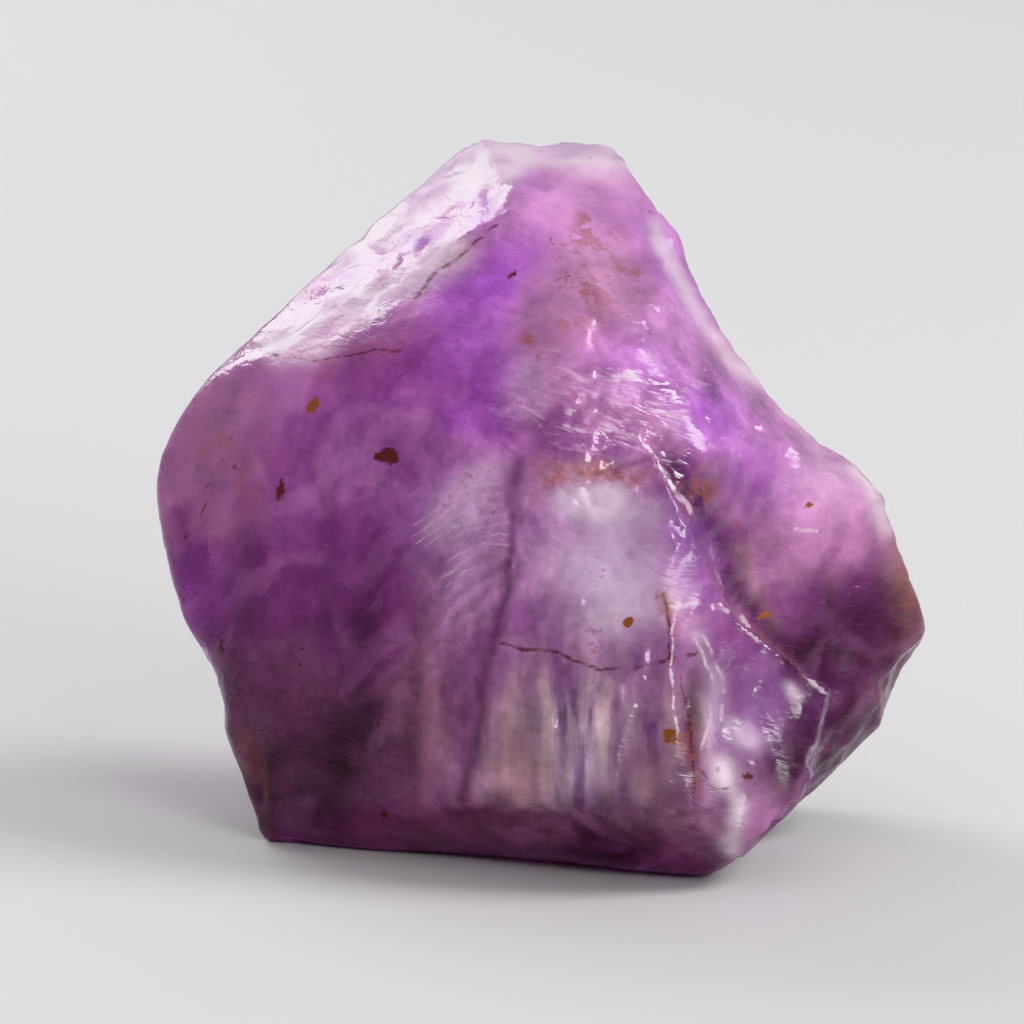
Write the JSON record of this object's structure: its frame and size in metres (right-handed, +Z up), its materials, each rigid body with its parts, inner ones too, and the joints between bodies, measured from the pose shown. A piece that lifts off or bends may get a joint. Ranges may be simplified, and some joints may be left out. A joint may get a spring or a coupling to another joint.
{
  "type": "rough ametrine stone",
  "caption": "Broken piece of two-coloured quartz, violet to pale, with a clear window, ledges and a flat base that it rests on.",
  "frame": {"origin": "middle of the bounding box's underside, on the flat base", "axes": "+Z up, +X to the right of the window, -Y out of the window face"},
  "size_m": [0.0326, 0.0238, 0.0275],
  "materials": {
    "quartz": "glassy broken quartz, deep violet on the left and the peak, pale and clear in the window, with iron stains in its cracks"
  },
  "bodies": {
    "root": {"ametrine": "quartz"}
  },
  "joints": []
}
